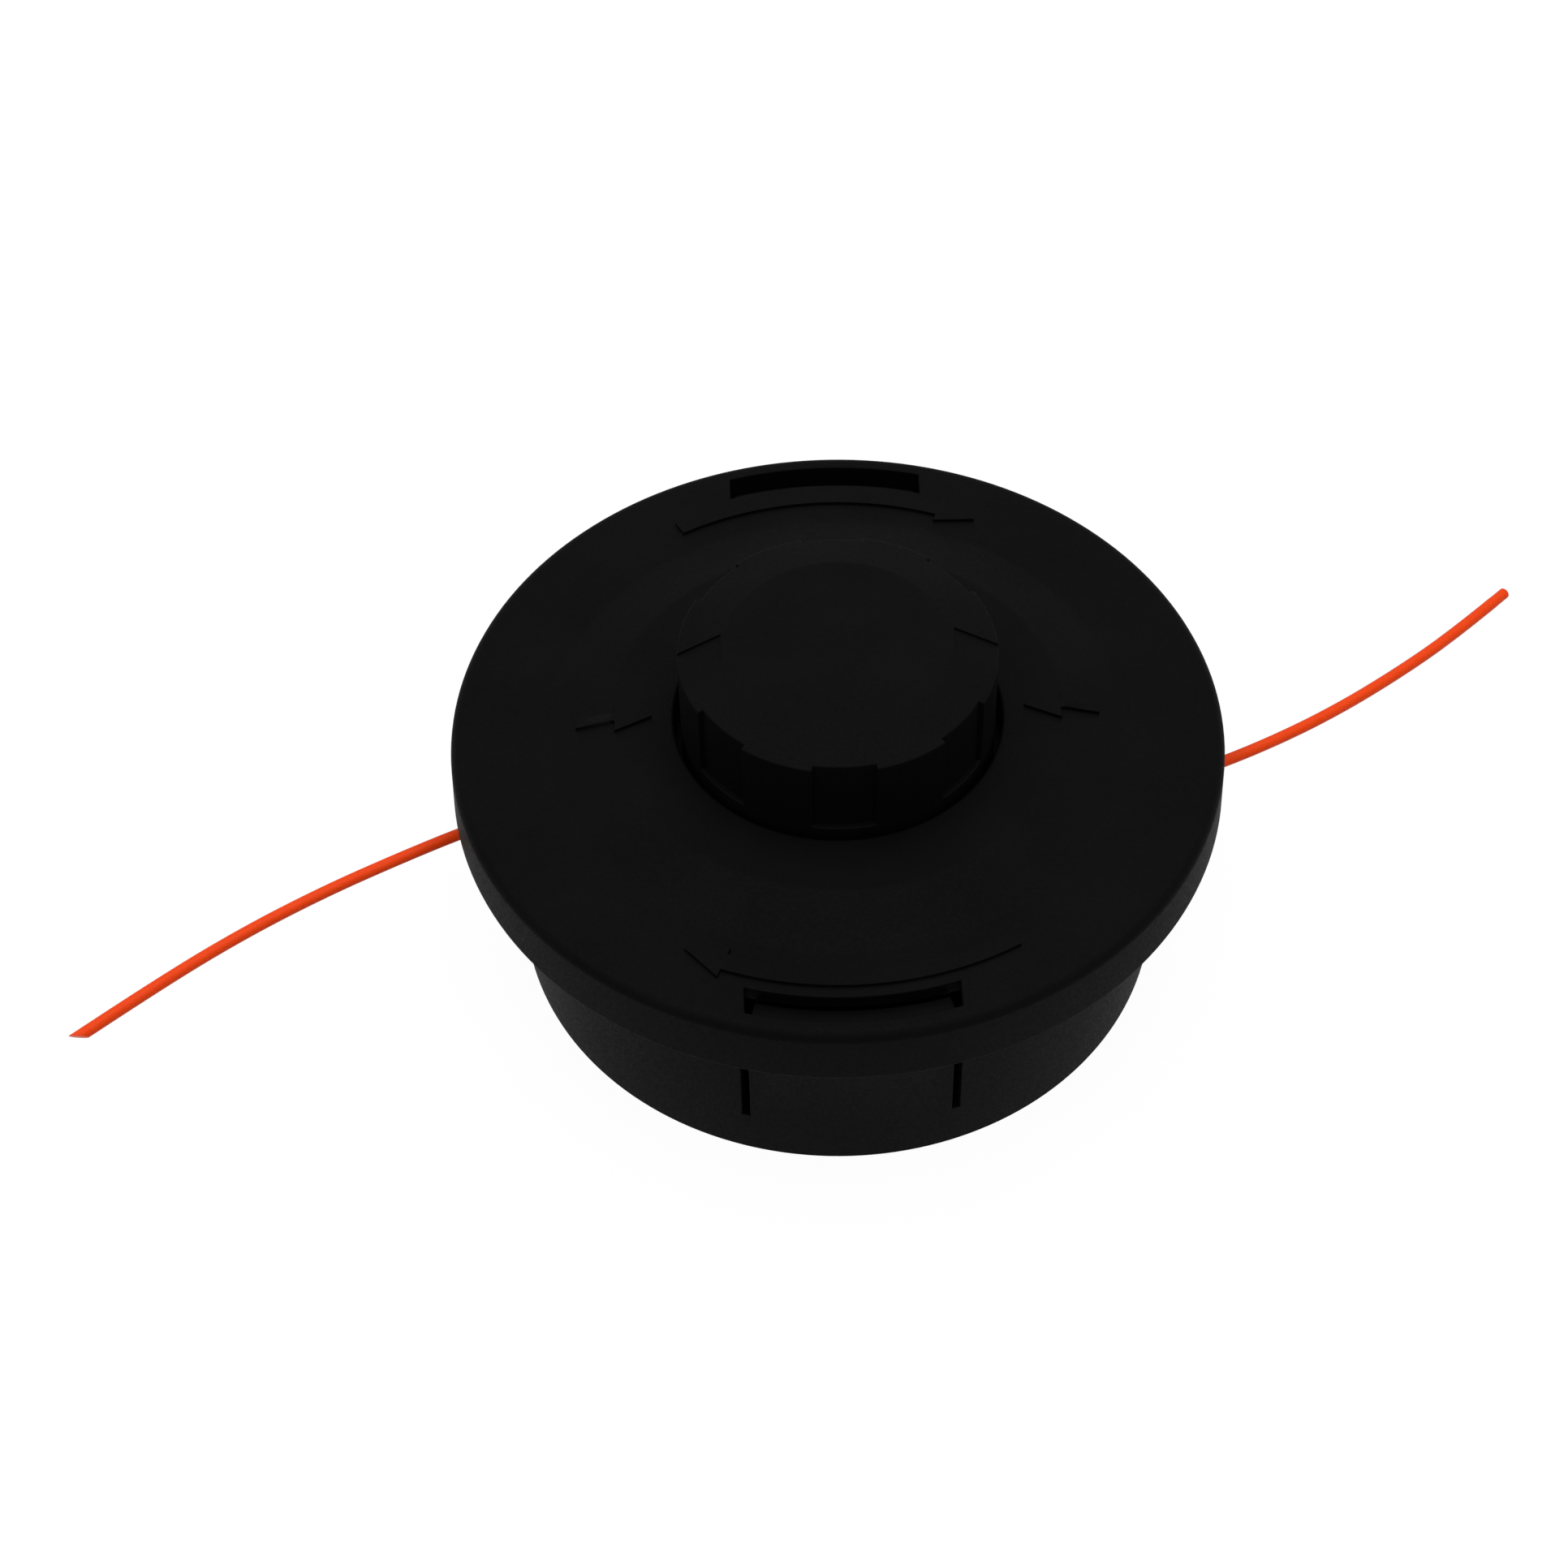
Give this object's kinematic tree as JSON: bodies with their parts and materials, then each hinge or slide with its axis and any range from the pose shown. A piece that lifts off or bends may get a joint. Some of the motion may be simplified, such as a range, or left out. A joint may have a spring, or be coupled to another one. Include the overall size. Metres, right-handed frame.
{
  "type": "bump feed trimmer head",
  "caption": "Round string trimmer head with a clip-on cap, a spring-loaded bump knob on a line spool, and free ends of cutting line.",
  "frame": {"origin": "centre of the gearbox-side face, which is the foot the head stands on", "axes": "+Z along the drive axis towards the bump knob, X through the line outlets, Y through the cap's latches"},
  "size_m": [0.241, 0.125, 0.0635],
  "materials": {
    "nylon_black": "fine moulded matte",
    "knob_black": "fine moulded matte",
    "spool_black": "moulded matte",
    "line_orange": "smooth extruded monofilament",
    "spring_steel": "drawn wire",
    "zinc_steel": "zinc plated",
    "bright_aluminium": "turned"
  },
  "bodies": {
    "housing": {"housing": "nylon_black", "cap": "nylon_black", "drive_nut": "zinc_steel", "eyelet_left": "bright_aluminium", "eyelet_right": "bright_aluminium", "spring": "spring_steel", "line_left": "line_orange", "line_right": "line_orange"},
    "spring_seat": {"thrust_washer": "zinc_steel"},
    "spool": {"spool": "spool_black", "bump_knob": "knob_black", "line_coil_upper": "line_orange", "line_coil_lower": "line_orange"}
  },
  "joints": [
    {"name": "bump", "type": "slide", "parent": "housing", "child": "spring_seat", "axis": [0, 0, -1], "range_m": [0, 0.005], "stiffness_N_per_m": 1500, "springref_m": -0.01, "deforming": ["spring"]},
    {"name": "spool_turn", "type": "hinge", "parent": "spring_seat", "child": "spool", "pos_m": [0, 0, 0.03], "axis": [0, 0, 1], "continuous": true}
  ]
}
